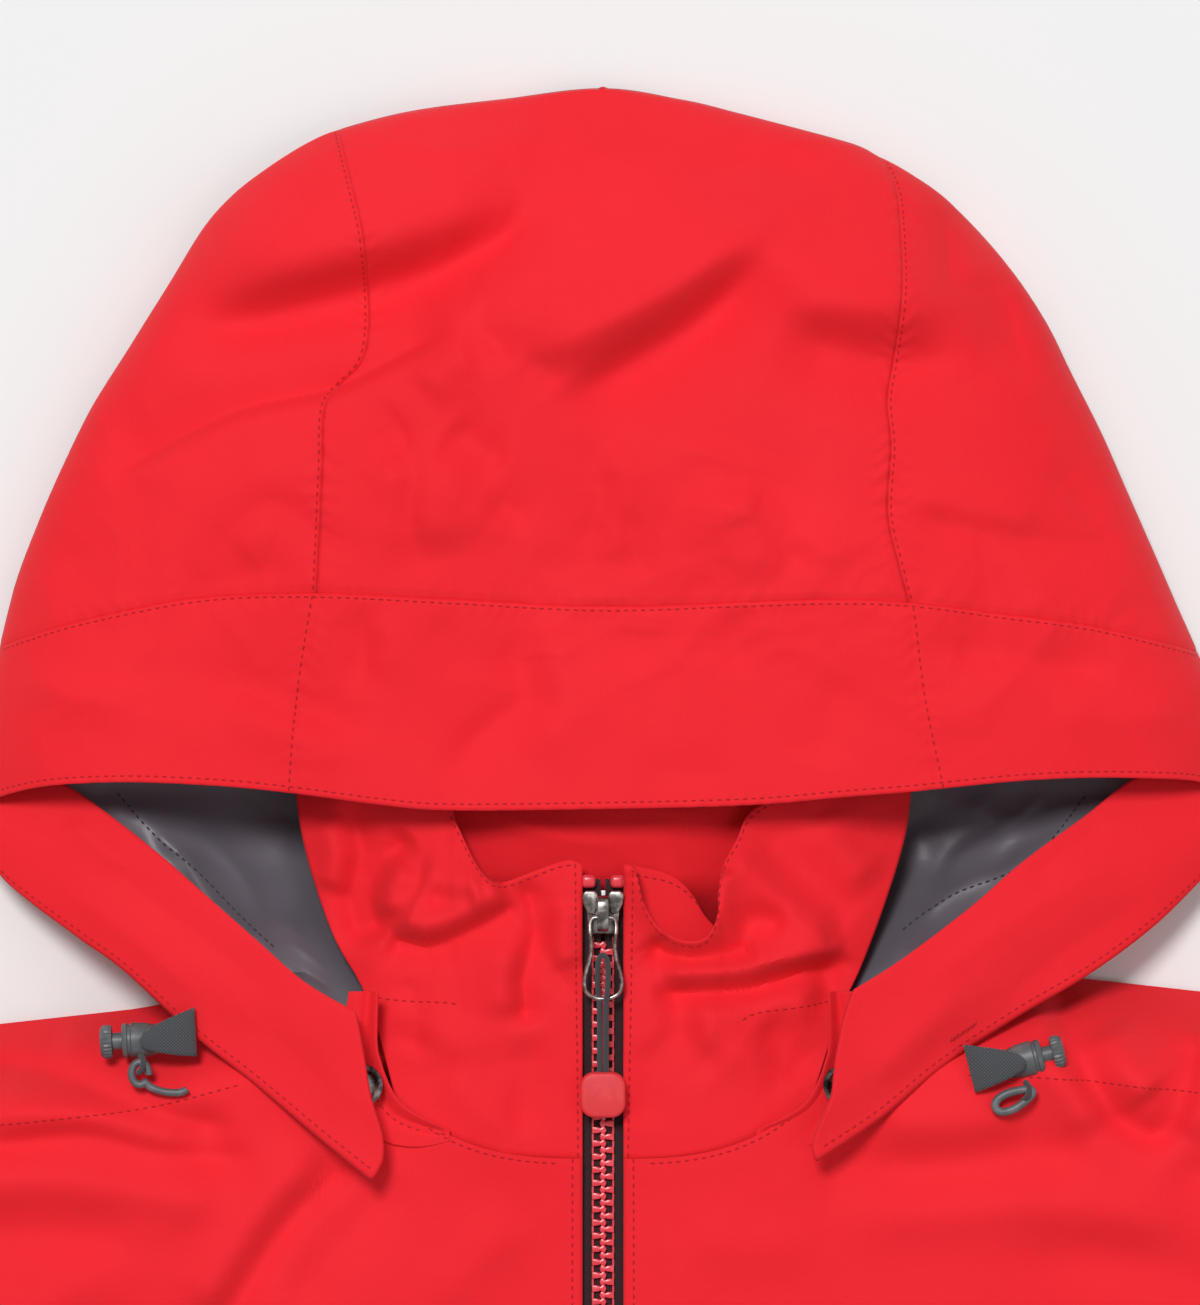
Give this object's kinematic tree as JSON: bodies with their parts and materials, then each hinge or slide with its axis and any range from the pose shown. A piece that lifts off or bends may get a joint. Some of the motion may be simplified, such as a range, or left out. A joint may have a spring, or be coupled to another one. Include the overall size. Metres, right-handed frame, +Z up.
{
  "type": "hardshell jacket",
  "caption": "Hooded waterproof shell jacket lying flat on its back, zipped up, with snapped hood corners, cord locks, cuff tabs and hand pocket zips.",
  "frame": {"origin": "centre of the jacket's bounding box, on the floor that its back lies on", "axes": "+Z up from the floor, +Y from the hem towards the hood, +X towards the wearer's left"},
  "size_m": [1.2112, 0.978, 0.048],
  "materials": {
    "shell_red": "woven waterproof face cloth, matt with a slight sheen",
    "lining": "smooth grey satin lining",
    "zip_tape": "dark woven tape",
    "zip_teeth": "moulded teeth",
    "metal": "antique nickel",
    "grip": "moulded soft grip",
    "cord": "dark braided cord",
    "trim": "dark grey moulded plastic"
  },
  "bodies": {
    "jacket": {"back_panel": "shell_red", "hood_brim": "shell_red", "collar_back": "shell_red", "hanger_loop": "trim", "hood_crown": "shell_red", "hood_back": "shell_red", "hood_lining": "lining", "storm_flap": "shell_red", "zip_box": "zip_teeth", "front_panel_left": "shell_red", "sleeve_top_left": "shell_red", "sleeve_under_left": "shell_red", "cuff_left": "shell_red", "collar_front_left": "shell_red", "neck_flap_left": "shell_red", "hood_side_left": "shell_red", "snap_stud_left": "metal", "hood_lock_housing_left": "trim", "lock_strap_left": "trim", "zip_teeth_left": "zip_teeth", "zip_top_stop_left": "zip_teeth", "zip_tape_left": "zip_tape", "pocket_zip_left": "zip_tape", "hem_lock_housing_left": "trim", "front_panel_right": "shell_red", "sleeve_top_right": "shell_red", "sleeve_under_right": "shell_red", "cuff_right": "shell_red", "collar_front_right": "shell_red", "neck_flap_right": "shell_red", "hood_side_right": "shell_red", "snap_stud_right": "metal", "hood_lock_housing_right": "trim", "lock_strap_right": "trim", "zip_teeth_right": "zip_teeth", "zip_top_stop_right": "zip_teeth", "zip_tape_right": "zip_tape", "pocket_zip_right": "zip_tape", "hem_lock_housing_right": "trim"},
    "zip_slider": {"slider_body": "metal", "slider_back_plate": "metal"},
    "zip_puller": {"zip_puller": "metal"},
    "pull_tail": {"pull_cord": "cord", "pull_grip": "grip"},
    "hood_corner_left": {"hood_chin_left": "shell_red", "snap_socket_left": "metal"},
    "hood_lock_button_left": {"hood_lock_button_left": "trim"},
    "hem_lock_button_left": {"hem_lock_button_left": "trim"},
    "cord_toggle_left": {"cord_toggle_left": "trim"},
    "cuff_tab_left": {"cuff_tab_left": "shell_red"},
    "pocket_slider_left": {"pocket_slider_left": "metal"},
    "pocket_puller_left": {"pocket_puller_left": "grip"},
    "hood_corner_right": {"hood_chin_right": "shell_red", "snap_socket_right": "metal"},
    "hood_lock_button_right": {"hood_lock_button_right": "trim"},
    "hem_lock_button_right": {"hem_lock_button_right": "trim"},
    "cord_toggle_right": {"cord_toggle_right": "trim"},
    "cuff_tab_right": {"cuff_tab_right": "shell_red"},
    "pocket_slider_right": {"pocket_slider_right": "metal"},
    "pocket_puller_right": {"pocket_puller_right": "grip"}
  },
  "joints": [
    {"name": "front_zip_slide", "type": "slide", "parent": "jacket", "child": "zip_slider", "axis": [0, -0.9995, -0.032], "range_m": [0, 0.735]},
    {"name": "zip_puller_swing", "type": "hinge", "parent": "zip_slider", "child": "zip_puller", "pos_m": [0, 0.26635, 0.04166], "axis": [-1, 0, 0], "range_deg": [0, 100]},
    {"name": "pull_tail_swing", "type": "hinge", "parent": "zip_puller", "child": "pull_tail", "pos_m": [0, 0.24606, 0.04101], "axis": [-1, 0, 0], "range_deg": [0, 75]},
    {"name": "hood_corner_unsnap_left", "type": "hinge", "parent": "jacket", "child": "hood_corner_left", "pos_m": [0.155, 0.2865, 0.01], "axis": [-0.6137, 0.7896, 0], "range_deg": [0, 50]},
    {"name": "hood_lock_press_left", "type": "slide", "parent": "jacket", "child": "hood_lock_button_left", "axis": [-1, 0, 0], "range_m": [0, 0.0025], "stiffness_N_per_m": 400},
    {"name": "hem_lock_press_left", "type": "slide", "parent": "jacket", "child": "hem_lock_button_left", "axis": [-1, 0, 0], "range_m": [0, 0.0025], "stiffness_N_per_m": 400},
    {"name": "cord_toggle_swing_left", "type": "hinge", "parent": "jacket", "child": "cord_toggle_left", "pos_m": [0.113, 0.218, 0.0398], "axis": [0, 0, 1], "range_deg": [-20, 20]},
    {"name": "cuff_tab_peel_left", "type": "hinge", "parent": "jacket", "child": "cuff_tab_left", "pos_m": [0.52004, -0.37377, 0.0178], "axis": [0.5736, -0.8192, 0], "range_deg": [0, 120]},
    {"name": "pocket_zip_slide_left", "type": "slide", "parent": "jacket", "child": "pocket_slider_left", "axis": [0.2085, -0.9775, -0.0313], "range_m": [0, 0.141]},
    {"name": "pocket_puller_swing_left", "type": "hinge", "parent": "pocket_slider_left", "child": "pocket_puller_left", "pos_m": [0.15205, -0.20783, 0.02809], "axis": [-0.978, -0.2084, -0.0067], "range_deg": [0, 120]},
    {"name": "hood_corner_unsnap_right", "type": "hinge", "parent": "jacket", "child": "hood_corner_right", "pos_m": [-0.155, 0.2865, 0.01], "axis": [-0.6137, -0.7896, 0], "range_deg": [0, 50]},
    {"name": "hood_lock_press_right", "type": "slide", "parent": "jacket", "child": "hood_lock_button_right", "axis": [1, 0, 0], "range_m": [0, 0.0025], "stiffness_N_per_m": 400},
    {"name": "hem_lock_press_right", "type": "slide", "parent": "jacket", "child": "hem_lock_button_right", "axis": [1, 0, 0], "range_m": [0, 0.0025], "stiffness_N_per_m": 400},
    {"name": "cord_toggle_swing_right", "type": "hinge", "parent": "jacket", "child": "cord_toggle_right", "pos_m": [-0.124, 0.225, 0.0363], "axis": [0, 0, 1], "range_deg": [-20, 20]},
    {"name": "cuff_tab_peel_right", "type": "hinge", "parent": "jacket", "child": "cuff_tab_right", "pos_m": [-0.52004, -0.37377, 0.0178], "axis": [0.5736, 0.8192, 0], "range_deg": [0, 120]},
    {"name": "pocket_zip_slide_right", "type": "slide", "parent": "jacket", "child": "pocket_slider_right", "axis": [-0.2085, -0.9775, -0.0313], "range_m": [0, 0.141]},
    {"name": "pocket_puller_swing_right", "type": "hinge", "parent": "pocket_slider_right", "child": "pocket_puller_right", "pos_m": [-0.15205, -0.20783, 0.02809], "axis": [-0.978, 0.2084, 0.0067], "range_deg": [0, 120]}
  ]
}
